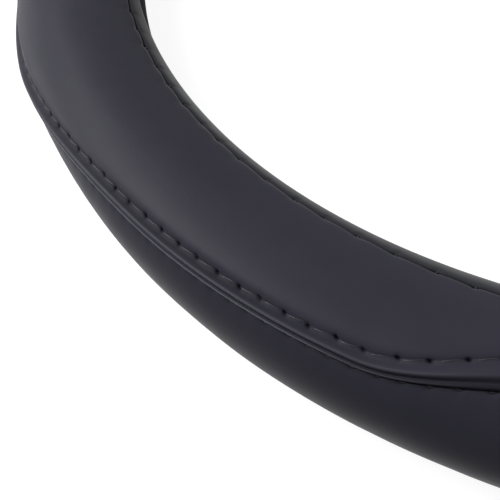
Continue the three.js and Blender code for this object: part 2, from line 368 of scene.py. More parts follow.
def soft_waves(theta, travel, size):
    """Slow unevenness of hand-laid leather, closed round the ring."""
    turn = np.radians(theta)
    return size * (
        np.sin(9 * turn + travel / 11.0) + 0.7 * np.sin(23 * turn - travel / 7.0 + 1.3)
        + 0.5 * np.sin(41 * turn + travel / 5.0 + 0.4)
    )


def front_height(theta, travel):
    """Height of the front panel's face over the rim, with the stitches' pull."""
    side = from_side(theta)
    d = travel - stitch_row(side)
    e = front_hem_seam(side) + hem_wave(theta, hem_marks) - travel
    lapped = np.where(d < 0, d / lap_at(side), d)
    height = FOAM_TOP + foam_swell(travel, side) + curve_through(LAP_PROFILE, lapped)
    height = height + curve_through(EDGE_PROFILE, np.maximum(e, 0))
    filled = 0.8 * STITCH_DIP * along_curve(side, DIP_FILLED)
    height = height + filled * hump(d, 0, STITCH_DIP_WIDTH)
    wide = along_curve(side, WIDE_VALLEY)
    flat_lip = 0.75 * hump(lapped, -0.90, 0.10)
    long_slope = 0.35 * hump(lapped, -0.72, 0.10)
    height = height - wide * (flat_lip + long_slope)
    along, aside, force = row_marks.nearest(theta)
    across = d - aside
    turned = across + HOLE_SLANT * along
    pit = 0.85 * dent(along, 0.42, turned, 0.24)
    pucker = 0.16 * dent(along, 1.1, across + 0.1, 0.8)
    pillow = 0.05 * (1 - hump(along, 0, 1.2)) * hump(across, -0.45, 0.28)
    height = height - force * (pit + pucker) + force * pillow
    along, aside, force = hem_marks.nearest(theta)
    notch = 0.55 * dent(along, 0.55, e, 0.75)
    pull = 0.22 * dent(along, 1.7, e, 2.4)
    height = height - force * (notch + pull) + soft_waves(theta, travel, 0.035)
    return height


def front_wear(theta, travel):
    """1 in the holes and seams, 0 on the open face: darker there, and less polished. At the seam the
    dark is the joint's own; in the holes, along the row's groove and on the slope, valley, lip and
    crown it is painted shade.
    """
    side = from_side(theta)
    d = travel - stitch_row(side)
    e = front_hem_seam(side) + hem_wave(theta, hem_marks) - travel
    along, aside, force = row_marks.nearest(theta)
    across = d - aside
    # Painted shade: darker in the needle holes and along the stitch row's groove.
    hole_shade = 1.15 * force * dent(along, 0.50, across + HOLE_SLANT * along, 0.30)
    groove_shade = 0.22 * hump(across, 0, 0.24)
    # Painted shade on the slope between the row and the crown, fading towards 6 and 12 o'clock.
    slope = 0.50 * hump(d, -0.85, 0.60) * (1 - along_curve(side, (48.0, 68.0)))
    edge = hump(e, 0, 0.35)
    lapped = d / lap_at(side)
    widened = along_curve(side, WIDE_VALLEY)
    # Painted shade in the wide valley, over the lip and on the crown towards 6 and 12 o'clock, where
    # they turn from the light.
    valley_shade = 0.45 * widened * hump(lapped, -0.84, 0.16)
    lip_shade = 0.90 * along_curve(side, SWING) * hump(lapped, -0.93, 0.12)
    crown_shade = 0.18 * widened * hump(lapped, -0.55, 0.20)
    return np.clip(hole_shade + groove_shade + slope + valley_shade + lip_shade + crown_shade + edge, 0, 1)


def lap_rub(theta, travel):
    """1 on the crests of the lap, where a painted highlight lightens the crown and the lip, fading
    towards 6 and 12 o'clock where they turn from the light.
    """
    side = from_side(theta)
    lapped = (travel - stitch_row(side)) / lap_at(side)
    crown = hump(lapped, -0.58, 0.075) * (1 - along_curve(side, (52.0, 70.0)))
    lip = hump(lapped, -0.925, 0.045) * (1 - along_curve(side, (50.0, 68.0)))
    return 0.50 * crown + 1.2 * lip


LAP_SHARES = [
    -1.0, -0.993, -0.98, -0.965, -0.948, -0.93, -0.91, -0.89, -0.87, -0.85, -0.825, -0.795,
    -0.765, -0.73, -0.69, -0.65, -0.60, -0.54, -0.47, -0.40, -0.33, -0.26, -0.20, -0.14, -0.09,
    -0.04,
]
ROW_COLUMNS = [0.0, 0.11, 0.22, 0.34, 0.48, 0.66, 0.9, 1.3, 1.9, 2.6]
HEM_COLUMNS = [2.4, 1.7, 1.2, 0.85, 0.6, 0.4, 0.25, 0.14, 0.06, 0.0]
FACE_STEPS = 9
PLAIN_STATION = 0.36


def half_ring(middle, step, *stitching):
    """Stations of one half, closer together round each stitch. Takes (marks, offsets in mm)."""
    margin = math.degrees(GAP / 2 / RIM_RADIUS)
    first, last = middle - 90 + margin, middle + 90 - margin
    theta = np.linspace(first, last, int(180 / step) + 1)
    for marks, offsets in stitching:
        near = marks.angles()[:, None] + np.degrees(np.array(offsets) / marks.radius)
        near = (near.ravel() - first) % 360 + first
        theta = np.concatenate([theta, near[(near > first + 0.04) & (near < last - 0.04)]])
    theta = np.sort(theta)
    keep = np.concatenate([[True], np.diff(theta) > 0.03])
    keep[-1] = True
    return theta[keep]


def end_tuck(theta, middle):
    """The panel's ends turn down into the cross seams at 6 and 12 o'clock."""
    distance = np.radians(90 - np.abs(theta - middle)) * RIM_RADIUS
    return -0.75 * hump(distance, 0, 0.8) - 0.12 * hump(distance, 0, 3.0)


HOLE_OFFSETS = [-0.85, -0.5, -0.25, 0.0, 0.25, 0.5, 0.85]
NOTCH_OFFSETS = [-0.4, 0.0, 0.4]
OVER_TONGUE, TONGUE_ENDS = 2 * GAP + TONGUE, 2.65
THINNEST = 0.12


def front_panel(name, middle):
    stitching = (row_marks, HOLE_OFFSETS), (hem_marks, NOTCH_OFFSETS)
    theta = half_ring(middle, PLAIN_STATION, *stitching)[:, None]
    side = from_side(theta)
    row, seam, lap = stitch_row(side), front_hem_seam(side), lap_at(side)
    outside = row + lap * np.array(LAP_SHARES)
    inside = row + np.array(ROW_COLUMNS)
    hem = seam + hem_wave(theta, hem_marks) - np.array(HEM_COLUMNS)
    share = np.linspace(0, 1, FACE_STEPS + 2)[1:-1]
    face = inside[:, -1:] + (hem[:, :1] - inside[:, -1:]) * share
    top = np.concatenate([outside, inside, face, hem], axis=1)
    lift = np.where(top - row < TONGUE_ENDS, OVER_TONGUE, GAP)
    floor_height = FOAM_TOP + foam_swell(top, side) + lift + THINNEST
    top_height = np.maximum(front_height(theta, top) + end_tuck(theta, middle), floor_height)
    under = np.concatenate([
        hem[:, -1:], hem[:, -1:] - 1.0, face[:, ::-2],
        row + 2.95, row + 2.35, row, row - lap / 2, row - lap + 0.1,
    ], axis=1)
    lift = np.array([GAP] * (under.shape[1] - 4) + [OVER_TONGUE] * 4)
    under_height = FOAM_TOP + foam_swell(under, side) + lift
    travel = np.concatenate([top, under], axis=1)
    height = np.concatenate([top_height, under_height], axis=1)
    # The hidden undersides are set fully dark, as painted shade.
    wear = np.concatenate([front_wear(theta, top), np.ones_like(under)], axis=1)
    rub = np.concatenate([lap_rub(theta, top), np.zeros_like(under)], axis=1)
    places = place(np.broadcast_to(theta, travel.shape), travel, height)
    return loft(name, places, False, wear=wear, rub=rub)


HALVES = (("right", 0), ("left", 180))
front_skin = {half: front_panel(f"front_skin_{half}", middle) for half, middle in HALVES}

# %% [markdown]
# ## The outer panels
#
# Each outer panel goes from the rear binding round the outside of the ring, and runs thinned
# under the lap. Its face is plain and a little flattened on the table. Right below the lip of
# the lap the hidden joining stitches pull small ticks into it. It is lofted like the front
# panels, so that the two meet without a gap.

# %% Outer panel
JOIN_PROFILE = [
    (-200.0, 1.50), (-2.0, 1.50), (-1.1, 1.52), (-0.6, 1.50), (-0.38, 1.45), (-0.22, 1.37),
    (-0.08, 1.16), (0.1, 0.90), (20.0, 0.90),
]
REAR_SEAM = LIP - REAR_HEM
JOIN_PLACE = -0.32
OUTER_STATION = 0.17


def outer_height(theta, travel):
    side = from_side(theta)
    d = travel - folded_edge(side)
    e = travel + REAR_SEAM + hem_wave(theta, rear_marks)
    height = FOAM_TOP + foam_swell(travel, side) + curve_through(JOIN_PROFILE, d)
    height = height + curve_through(EDGE_PROFILE, np.maximum(e, 0))
    along, aside, force = join_marks.nearest(theta)
    across = d - JOIN_PLACE - aside
    tick = 0.36 * dent(along, 0.60, across, 0.26)
    pull = 0.10 * dent(along, 1.1, across + 0.4, 0.9)
    height = height - force * (tick + pull)
    along, aside, force = rear_marks.nearest(theta)
    notch = 0.50 * dent(along, 0.55, e, 0.75)
    pull = 0.20 * dent(along, 1.7, e, 2.4)
    return height - force * (notch + pull) + soft_waves(theta, travel, 0.04)


def outer_wear(theta, travel):
    side = from_side(theta)
    d = travel - folded_edge(side)
    e = travel + REAR_SEAM + hem_wave(theta, rear_marks)
    # Darker at the rear seam, the joint's own dark; painted shade in the joining stitches' ticks and
    # under the lap's fold, from just before its edge.
    along, aside, force = join_marks.nearest(theta)
    tick = dent(along, 0.7, d - JOIN_PLACE - aside, 0.35)
    return np.clip(0.7 * tick + hump(e, 0, 0.35) + (d > -0.05), 0, 1)


JOIN_COLUMNS = [-1.9, -1.35, -1.0, -0.75, -0.6, -0.5, -0.42, -0.34, -0.26, -0.18, -0.08, 0.1]
PLAIN_STEPS = 22


def outer_panel(name, middle):
    theta = half_ring(middle, OUTER_STATION)[:, None]
    side = from_side(theta)
    row = stitch_row(side)
    hem = -REAR_SEAM - hem_wave(theta, rear_marks) + np.array(HEM_COLUMNS[::-1])
    tongue = [row - lap_at(side) / 2, row, row + TONGUE_LENGTH - GAP]
    join = np.concatenate([folded_edge(side) + np.array(JOIN_COLUMNS), *tongue], axis=1)
    share = np.linspace(0, 1, PLAIN_STEPS + 2)[1:-1]
    plain = hem[:, -1:] + (join[:, :1] - hem[:, -1:]) * share
    top = np.concatenate([hem, plain, join], axis=1)
    under = np.concatenate([join[:, [-1, -2, -3, -6]], plain[:, ::-2], hem[:, :1]], axis=1)
    under_height = FOAM_TOP + foam_swell(under, side) + GAP
    top_height = outer_height(theta, top) + end_tuck(theta, middle)
    top_height = np.maximum(top_height, FOAM_TOP + foam_swell(top, side) + GAP + THINNEST)
    travel = np.concatenate([top, under], axis=1)
    height = np.concatenate([top_height, under_height], axis=1)
    # The hidden undersides are set fully dark, as painted shade.
    wear = np.concatenate([outer_wear(theta, top), np.ones_like(under)], axis=1)
    places = place(np.broadcast_to(theta, travel.shape), travel, height)
    places[:, :, 2] = np.maximum(places[:, :, 2], 0)
    return loft(name, places, False, wear=wear)


outer_skin = {half: outer_panel(f"outer_skin_{half}", middle) for half, middle in HALVES}

# %% [markdown]
# ## The bindings
#
# A strip of the same leather closes the skin over each lip of the rubber: from its seam it
# runs to the lip, round the lip's nose and a little way back inside. Between two stitches it
# bulges, and at each stitch it is pulled in, so its edge looks scalloped.

# %% Bindings
BINDING_STATION = 0.2
NOSE_TURN = np.radians(np.linspace(90, -90, 11))


def binding_height(theta, e, marks):
    """Height over the rim at e millimetres from the seam."""
    along, aside, force = marks.nearest(theta)
    notch = 0.45 * dent(along, 0.55, e, 0.75)
    pull = 0.13 * dent(along, 1.8, e, 2.6)
    return SKIN_TOP + curve_through(EDGE_PROFILE, np.maximum(e, 0)) - force * (notch + pull)


def binding(name, seam, marks, face):
    """face is 1 for the front and -1 for the rear."""
    theta = np.arange(0, 360, BINDING_STATION)[:, None]
    start = seam(from_side(theta)) + hem_wave(theta, marks) + 0.05
    inner = LIP - LEATHER
    from_seam = np.array(HEM_COLUMNS[::-1])
    share = np.linspace(0, 1, 5)[1:]
    hem = start + from_seam
    band = hem[:, -1:] + (inner - hem[:, -1:]) * share
    top = np.concatenate([hem, band], axis=1)
    top_height = np.maximum(binding_height(theta, top - start, marks), SKIN_BOTTOM + 0.1)
    nose_travel = inner + LEATHER * np.cos(NOSE_TURN[1:]) ** 0.8
    bulge = np.sign(NOSE_TURN[1:]) * np.abs(np.sin(NOSE_TURN[1:])) ** 0.9
    nose_height = SKIN_TOP / 2 * (1 + bulge)
    back_travel = [LIP - BINDING_RETURN, LIP - BINDING_RETURN, inner, inner]
    back_height = [0.0, LEATHER, LEATHER, SKIN_BOTTOM]
    rest = np.broadcast_to(np.concatenate([nose_travel, back_travel]), (len(theta), 14))
    rest_height = np.broadcast_to(np.concatenate([nose_height, back_height]), (len(theta), 14))
    under = np.concatenate([band[:, [1]], hem[:, [0]]], axis=1)
    travel = np.concatenate([top, rest, under], axis=1)
    height = np.concatenate([top_height, rest_height, np.full_like(under, SKIN_BOTTOM)], axis=1)
    wear = hump(travel, start, 0.35)
    if face < 0:
        travel, height, wear = -travel[:, ::-1], height[:, ::-1], wear[:, ::-1]
    places = place(np.broadcast_to(theta, travel.shape), travel, height)
    return loft(name, places, True, wear=wear)


def rear_hem_seam(side):
    return REAR_SEAM + 0 * side


front_band = binding("front_band", front_hem_seam, hem_marks, 1)
rear_band = binding("rear_band", rear_hem_seam, rear_marks, -1)

# %% [markdown]
# ## The foam
#
# Thin foam lies between the rubber and the leather. Nobody sees it once the cover is sewn, but
# it gives the skin its fuller line beside the lap, so it follows the same swelling.

# %% Foam layer
def foam_layer():
    theta = np.arange(0, 360, 1.0)[:, None]
    side = from_side(theta)
    out = np.linspace(-FOAM_EDGE, FOAM_EDGE, 48)[None, :]
    inside = np.linspace(FOAM_EDGE, -FOAM_EDGE, 22)[None, :]
    travel = np.broadcast_to(np.concatenate([out, inside], axis=1), (360, 70))
    out_height = FOAM_TOP + foam_swell(np.broadcast_to(out, (360, 48)), side)
    height = np.concatenate([out_height, np.full((360, 22), FOAM_BOTTOM)], axis=1)
    return loft("foam_layer", place(np.broadcast_to(theta, travel.shape), travel, height), True)


padding = foam_layer()

# %% [markdown]
# ## The rubber ring
#
# The ring that grips the wheel is one moulding with the same section all round, so it follows
# a rule: a section carried along a circle. Geometry Nodes does just that. The section is drawn
# once as a closed curve, and the tree sweeps it round the ring's circle.

# %% Geometry Nodes helpers
class Tree:
    """Builds a Geometry Nodes tree with named inputs."""

    def __init__(self, name):
        self.tree = bpy.data.node_groups.new(name, "GeometryNodeTree")
        for way in ("INPUT", "OUTPUT"):
            self.tree.interface.new_socket(
                "Geometry", in_out=way, socket_type="NodeSocketGeometry")
        self.source = self.tree.nodes.new("NodeGroupInput")
        self.sink = self.tree.nodes.new("NodeGroupOutput")
        self.ids = {}

    def size(self, name, kind="NodeSocketFloat"):
        socket = self.tree.interface.new_socket(name, in_out="INPUT", socket_type=kind)
        self.ids[name] = socket.identifier
        return self.source.outputs[name]

    def node(self, kind, settings=None, **sockets):
        made = self.tree.nodes.new(kind)
        for key, value in (settings or {}).items():
            setattr(made, key, value)
        for key, value in sockets.items():
            by_number = key[1:].isdigit()
            socket = made.inputs[int(key[1:]) if by_number else key.replace("_", " ")]
            if isinstance(value, bpy.types.NodeSocket):
                self.tree.links.new(value, socket)
            else:
                socket.default_value = value
        return made

    def finish(self, geometry):
        self.tree.links.new(geometry, self.sink.inputs["Geometry"])

    def apply(self, carrier, name, values):
        """Runs the tree on the carrier and returns the result as a plain piece."""
        modifier = carrier.modifiers.new("made", "NODES")
        modifier.node_group = self.tree
        for key, value in values.items():
            modifier[self.ids[key]] = value
        shape = carrier.evaluated_get(bpy.context.evaluated_depsgraph_get())
        mesh = bpy.data.meshes.new_from_object(shape)
        carrier.modifiers.remove(modifier)
        bpy.data.objects.remove(carrier)
        mesh.name = name
        piece = add_object(name, mesh)
        triangles = sum(len(p.vertices) - 2 for p in mesh.polygons)
        print(f"{name}: {len(mesh.vertices)} vertices, {triangles} triangles")
        return piece


# %% Rubber section
def rubber_section():
    """Corners of the rubber's section, as travel and height, ribs and lips included."""
    pitch = RIB_SPAN / RIB_COUNT
    ribs = []
    for k in range(RIB_COUNT):
        top = RIB_SPAN / 2 - k * pitch
        ribs += [
            (top, RIB_HEIGHT), (top - pitch * 0.35, RIB_HEIGHT * 0.45),
            (top - pitch / 2, 0.0), (top - pitch * 0.65, RIB_HEIGHT * 0.45),
        ]
    ribs.append((-RIB_SPAN / 2, RIB_HEIGHT))
    lip = [
        (BEAD_START, RUBBER_TOP), (BEAD_START, FOAM_TOP), (BEAD_TOP, FOAM_TOP),
        (BEAD_TOP, LEATHER + GAP), (BEAD_START + GAP, LEATHER + GAP),
        (BEAD_START - GAP, RIB_HEIGHT),
    ]
    plain = [(t, RIB_HEIGHT) for t in np.linspace(BEAD_START - GAP, RIB_SPAN / 2, 6)[1:-1]]
    outside = [(t, RUBBER_TOP) for t in np.linspace(-FOAM_EDGE, FOAM_EDGE, 30)[1:-1]]

    def mirror(corners):
        return [(-t, h) for t, h in reversed(corners)]

    return mirror(lip[:3]) + outside + lip + plain + ribs + mirror(plain) + mirror(lip[3:])


corners = np.array(rubber_section())
print(f"rubber section with {len(corners)} corners")

# %% [markdown]
# The sweep's own directions are fixed by the circle: across the section points away from the
# ring's axis. The section is the same upside down, so only the faces' direction is checked, by
# the sign of the volume they enclose.

# %% Rubber ring
def carrier_of(name, points, edges=(), **vectors):
    mesh = bpy.data.meshes.new(name)
    mesh.from_pydata([tuple(p) for p in points], list(edges), [])
    for key, values in vectors.items():
        layer = mesh.attributes.new(key, "FLOAT_VECTOR", "POINT")
        layer.data.foreach_set("vector", np.asarray(values, np.float32).reshape(-1))
    return add_object(name, mesh)


def point_outwards(piece):
    mesh = piece.data
    mesh.calc_loop_triangles()
    points = np.array([v.co for v in mesh.vertices])
    a, b, c = points[np.array([t.vertices for t in mesh.loop_triangles])].transpose(1, 0, 2)
    volume = float((a * np.cross(b, c)).sum() / 6)
    if volume < 0:
        mesh.flip_normals()
    print(f"{piece.name}: {abs(volume) * 1e6:.1f} cm3")


angle = np.interp(corners[:, 0], table_travel, table_angle)
x, z, out_x, out_z = rim_section(angle)
section = np.stack([x + corners[:, 1] * out_x, z + corners[:, 1] * out_z, 0 * x], axis=-1) * MM
count = len(section)
sweep = Tree("sweep a section round a circle")
radius, lift = sweep.size("Ring radius"), sweep.size("Lift")
stations = sweep.size("Stations", "NodeSocketInt")
finish_input = sweep.size("Finish", "NodeSocketMaterial")
profile = sweep.node("GeometryNodeMeshToCurve", Mesh=sweep.source.outputs["Geometry"])
circle = sweep.node("GeometryNodeCurvePrimitiveCircle", Resolution=stations, _4=radius)
ring = sweep.node(
    "GeometryNodeCurveToMesh", Curve=circle.outputs["Curve"], Profile_Curve=profile.outputs[0])
offset = sweep.node("ShaderNodeCombineXYZ", Z=lift)
placed = sweep.node(
    "GeometryNodeTransform", Geometry=ring.outputs[0], Translation=offset.outputs[0])
smooth = sweep.node("GeometryNodeSetShadeSmooth", Geometry=placed.outputs[0])
solid = sweep.node("GeometryNodeRealizeInstances", Geometry=smooth.outputs[0])
dressed = sweep.node(
    "GeometryNodeSetMaterial", Geometry=solid.outputs[0], Material=finish_input)
sweep.finish(dressed.outputs[0])

# %% [markdown]
# ## Finishes
#
# A finish is a small tree of shader nodes. To keep the sums readable, a wrapped socket can be
# used in Python expressions, and every other node comes from one method.

# %% Shader helpers
class Wire:
    """A shader socket that can be used in sums."""

    def __init__(self, finish, socket):
        self.finish, self.socket = finish, socket

    def sum_of(self, operation, first, second):
        made = self.finish.node("ShaderNodeMath", {"operation": operation}, {0: first, 1: second})
        return made["Value"]

    def __add__(self, other): return self.sum_of("ADD", self, other)
    def __radd__(self, other): return self.sum_of("ADD", other, self)
    def __sub__(self, other): return self.sum_of("SUBTRACT", self, other)
    def __rsub__(self, other): return self.sum_of("SUBTRACT", other, self)
    def __mul__(self, other): return self.sum_of("MULTIPLY", self, other)
    def __rmul__(self, other): return self.sum_of("MULTIPLY", other, self)


class Outputs:
    def __init__(self, finish, made):
        self.finish, self.made = finish, made

    def __getitem__(self, key):
        return Wire(self.finish, self.made.outputs[key])


class Finish:
    """A material with one Principled shader."""

    def __init__(self, name):
        self.material = bpy.data.materials.new(name)
        self.material.use_nodes = True
        self.tree = self.material.node_tree
        self.shader = self.tree.nodes["Principled BSDF"]
        self.place = self.node("ShaderNodeTexCoord")["Object"]

    def connect(self, value, socket):
        if isinstance(value, Wire):
            self.tree.links.new(value.socket, socket)
        else:
            socket.default_value = value

    def node(self, kind, settings=None, inputs=None):
        made = self.tree.nodes.new(kind)
        for key, value in (settings or {}).items():
            setattr(made, key, value)
        for key, value in (inputs or {}).items():
            self.connect(value, made.inputs[key])
        return Outputs(self, made)

    def noise(self, scale, detail=2.0, roughness=0.5):
        inputs = {"Vector": self.place, "Scale": scale, "Detail": detail, "Roughness": roughness}
        return self.node("ShaderNodeTexNoise", None, inputs)["Fac"]

    def blend(self, share, low, high):
        settings = {"data_type": "RGBA", "clamp_factor": True}
        return self.node("ShaderNodeMix", settings, {0: share, 6: low, 7: high})[2]

    def bump(self, height, strength, distance):
        inputs = {"Height": height, "Strength": strength, "Distance": distance}
        return self.node("ShaderNodeBump", None, inputs)["Normal"]

    def set(self, **values):
        for key, value in values.items():
            self.connect(value, self.shader.inputs[key.replace("_", " ")])
        return self.material


# %% [markdown]
# The leather is smooth and nearly black, with a faint blue in its grey. Its fine grain is only
# just visible: shallow pebbles about half a millimetre across, a finer tooth over them, and
# slow clouds in colour and polish. At the seams it is darker and duller, the joints' own dark; in
# the holes, along the stitch row, on parts of the lap and under its fold it is darker and duller
# by painted shade. On the crests of the lap a painted highlight makes it lighter. The pieces' own
# values say where. Colours, painted shade and highlight, and lamps were tuned together against
# the one photograph, so they go together, and the colour alone isn't known.

# %% Leather
# The dark colour of the seams and the painted shade, and the lighter colour of the painted
# highlight.
SEAM_AND_SHADE_COLOUR, HIGHLIGHT_COLOUR = (0.003, 0.003, 0.004, 1), (0.066, 0.065, 0.078, 1)
LEATHER_GLOSS, POLISH = 0.045, 0.40


def leather(name, dark, light):
    finish = Finish(name)
    wear = finish.node("ShaderNodeAttribute", {"attribute_name": "wear"})["Fac"]
    clouds = finish.noise(22.0, 3.0)
    patches = finish.noise(140.0, 2.0)
    pebbles = finish.node("ShaderNodeTexVoronoi", {"feature": "SMOOTH_F1"}, {
        "Vector": finish.place, "Scale": 1500.0, "Smoothness": 0.6})["Distance"]
    tooth = finish.noise(4200.0, 2.0)
    rub = finish.node("ShaderNodeAttribute", {"attribute_name": "rub"})["Fac"]
    tone = finish.blend(clouds * 0.6 + patches * 0.4, dark, light)
    # The seams' own dark, painted shade and a painted highlight are blended into the colour here.
    colour = finish.blend(wear * 0.85, finish.blend(rub, tone, HIGHLIGHT_COLOUR), SEAM_AND_SHADE_COLOUR)
    rough = POLISH + 0.10 * (clouds - 0.5) + 0.12 * (patches - 0.5) + 0.06 * (tooth - 0.5)
    rough = rough + 0.3 * wear - 0.08 * rub
    skin = finish.bump(pebbles * 0.7 + tooth * 0.3, 0.16, 0.00012)
    return finish.set(
        Base_Color=colour, Roughness=rough, Normal=skin, Specular_IOR_Level=LEATHER_GLOSS)


panel_leather = leather(
    "panel_leather", (0.0165, 0.0158, 0.0230, 1), (0.0222, 0.0215, 0.0300, 1))
# The binding leather is a lighter, more neutral copy of the panel leather: partly its own tone,
# partly painted light for the brighter inner edge.
band_leather = leather(
    "binding_leather", (0.0185, 0.0187, 0.0220, 1), (0.0240, 0.0243, 0.0280, 1))

# %% [markdown]
# The rubber is dull and slightly dusty, with a fine moulded grain. The foam is dark grey and
# full of small open cells. The thread is a bonded black polyester with a soft shine along it.

# %% Rubber, foam and thread
def rubber():
    finish = Finish("rubber")
    dust = finish.noise(60.0, 4.0, 0.6)
    grain = finish.noise(2600.0, 2.0)
    colour = finish.blend(dust, (0.012, 0.012, 0.013, 1), (0.028, 0.028, 0.029, 1))
    return finish.set(
        Base_Color=colour, Roughness=0.62 + 0.25 * (dust - 0.5), Specular_IOR_Level=0.35,
        Normal=finish.bump(grain, 0.25, 0.0002),
    )


def foam():
    finish = Finish("foam")
    cells = finish.node("ShaderNodeTexVoronoi", {"feature": "F1"}, {
        "Vector": finish.place, "Scale": 1700.0})["Distance"]
    colour = finish.blend(cells, (0.03, 0.03, 0.03, 1), (0.11, 0.11, 0.105, 1))
    return finish.set(
        Base_Color=colour, Roughness=0.9 + 0.08 * cells, Normal=finish.bump(cells, 0.6, 0.0004),
    )


def thread():
    finish = Finish("thread")
    fuzz = finish.noise(5200.0, 3.0)
    colour = finish.blend(fuzz, (0.002, 0.002, 0.003, 1), (0.012, 0.012, 0.017, 1))
    return finish.set(
        Base_Color=colour, Roughness=0.42 + 0.25 * (fuzz - 0.5), Specular_IOR_Level=0.3,
        Normal=finish.bump(fuzz, 0.35, 0.0001),
    )


rubber_finish, foam_finish, thread_finish = rubber(), foam(), thread()
print("finishes:", [m.name for m in bpy.data.materials])

# %% [markdown]
# Now the rubber can be swept in its finish.

# %% Sweep the rubber
holder = carrier_of("rubber section", section, [(k, (k + 1) % count) for k in range(count)])
rubber_ring = sweep.apply(holder, "rubber_ring", {
    "Ring radius": RIM_RADIUS * MM, "Lift": HALF_HEIGHT * MM, "Stations": 360,
    "Finish": rubber_finish,
})
point_outwards(rubber_ring)

# %% [markdown]
# ## Stitches
#
# Every stitch is a short piece of thread that comes up out of one hole, lies on the leather and
# goes down into the next. They repeat along a path, so one Geometry Nodes tree makes them all:
# it draws one stitch as a curve with a round section, and sets a copy on each point of a path,
# turned along the path and standing on the leather. Each set has its own sizes.

# %% Stitch tree
sew = Tree("sew stitches on points")
length, thick = sew.size("Stitch length"), sew.size("Thread thickness")
rise, sink, slant = sew.size("Rise"), sew.size("Sink"), sew.size("Slant")
thread_input = sew.size("Thread", "NodeSocketMaterial")


def scaled(value, factor):
    return sew.node("ShaderNodeMath", {"operation": "MULTIPLY"}, _0=value, _1=factor).outputs[0]


def spot(x, z):
    return sew.node("ShaderNodeCombineXYZ", X=x, Z=z).outputs[0]


low = scaled(sink, -1.0)
path = sew.node(
    "GeometryNodeCurvePrimitiveBezierSegment", {"mode": "POSITION"}, Resolution=7,
    Start=spot(scaled(length, -0.5), low), Start_Handle=spot(scaled(length, -0.46), rise),
    End_Handle=spot(scaled(length, 0.46), rise), End=spot(scaled(length, 0.5), low),
)
round_section = sew.node(
    "GeometryNodeCurvePrimitiveCircle", Resolution=6, _4=scaled(thick, 0.5))
one = sew.node(
    "GeometryNodeCurveToMesh", Curve=path.outputs[0], Profile_Curve=round_section.outputs[0],
    Fill_Caps=True,
)


def point_vector(name):
    kind = {"data_type": "FLOAT_VECTOR"}
    return sew.node("GeometryNodeInputNamedAttribute", kind, Name=name).outputs[0]


along_path, off_leather = point_vector("along"), point_vector("out")
LEAN_SEED = 11
lean = sew.node(
    "FunctionNodeRandomValue", {"data_type": "FLOAT"}, _2=scaled(slant, -1.0), _3=slant,
    _8=LEAN_SEED,
).outputs[1]
lean_angles = sew.node("ShaderNodeCombineXYZ", Z=lean).outputs[0]
lean_turn = sew.node("FunctionNodeEulerToRotation", _0=lean_angles).outputs[0]
upright = sew.node(
    "FunctionNodeAlignRotationToVector", {"axis": "Z"}, Vector=off_leather).outputs[0]
turned = sew.node(
    "FunctionNodeAlignRotationToVector", {"axis": "X", "pivot_axis": "Z"}, Rotation=upright,
    Vector=along_path,
).outputs[0]
leaning = sew.node(
    "FunctionNodeRotateRotation", {"rotation_space": "LOCAL"}, Rotation=turned,
    Rotate_By=lean_turn,
).outputs[0]
copies = sew.node(
    "GeometryNodeInstanceOnPoints", Points=sew.source.outputs["Geometry"],
    Instance=one.outputs[0], Rotation=leaning,
)
soft = sew.node("GeometryNodeSetShadeSmooth", Geometry=copies.outputs[0])
plain_mesh = sew.node("GeometryNodeRealizeInstances", Geometry=soft.outputs[0])
sewn = sew.node(
    "GeometryNodeSetMaterial", Geometry=plain_mesh.outputs[0], Material=thread_input)
sew.finish(sewn.outputs[0])


def out_of(theta, travel):
    """The direction out of the section."""
    _, _, out_x, out_z = rim_section(np.interp(travel, table_travel, table_angle))
    turn = np.radians(theta)
    return np.stack([out_x * np.cos(turn), out_x * np.sin(turn), out_z], axis=-1)


LEAST_RISE = 0.55 * MM


def stitches(name, theta, travel, height, direction, **sizes):
    """One set of stitches. Where the ring lies on the table, they are pressed into the leather."""
    points = place(theta, travel, height)
    points[:, 2] = np.maximum(points[:, 2], LEAST_RISE)
    holder = carrier_of(name, points, along=direction, out=out_of(theta, travel))
    values = {key.replace("_", " "): value * MM for key, value in sizes.items() if key != "Slant"}
    values["Slant"] = math.radians(sizes["Slant"])
    values["Thread"] = thread_finish
    return sew.apply(holder, name, values)


# %% Topstitches and binding stitches
holes = np.sort(row_marks.angles() % 360)
next_holes = np.roll(holes, -1)
middles = (holes + next_holes + 360 * (next_holes < holes)) / 2 % 360
row_travel = stitch_row(from_side(middles)) - 0.12


def hole_place(theta, slip):
    return place(theta, stitch_row(from_side(theta)) + slip, FOAM_TOP + 1.5)


topstitches = stitches(
    "topstitches", middles, row_travel, front_height(middles, row_travel) + 0.06,
    hole_place(next_holes, 0.2) - hole_place(holes, -0.2),
    Stitch_length=4.9, Thread_thickness=0.30, Rise=0.15, Sink=0.75, Slant=3.0,
)


def crossing(marks, seam, sign, height):
    theta = marks.angles() % 360
    travel = sign * (seam(from_side(theta)) + 0.15)
    across = place(theta, travel + 0.5, height) - place(theta, travel - 0.5, height)
    return theta, travel, height, across


HEM_STITCH = dict(Stitch_length=1.5, Thread_thickness=0.36, Rise=0.15, Sink=0.5, Slant=18.0)
HEM_STITCH_HEIGHT = SKIN_TOP - 0.55
hem_stitches = stitches(
    "front_hem_stitches", *crossing(hem_marks, front_hem_seam, 1, HEM_STITCH_HEIGHT),
    **HEM_STITCH,
)
rear_stitches = stitches(
    "rear_hem_stitches", *crossing(rear_marks, rear_hem_seam, -1, HEM_STITCH_HEIGHT),
    **HEM_STITCH,
)

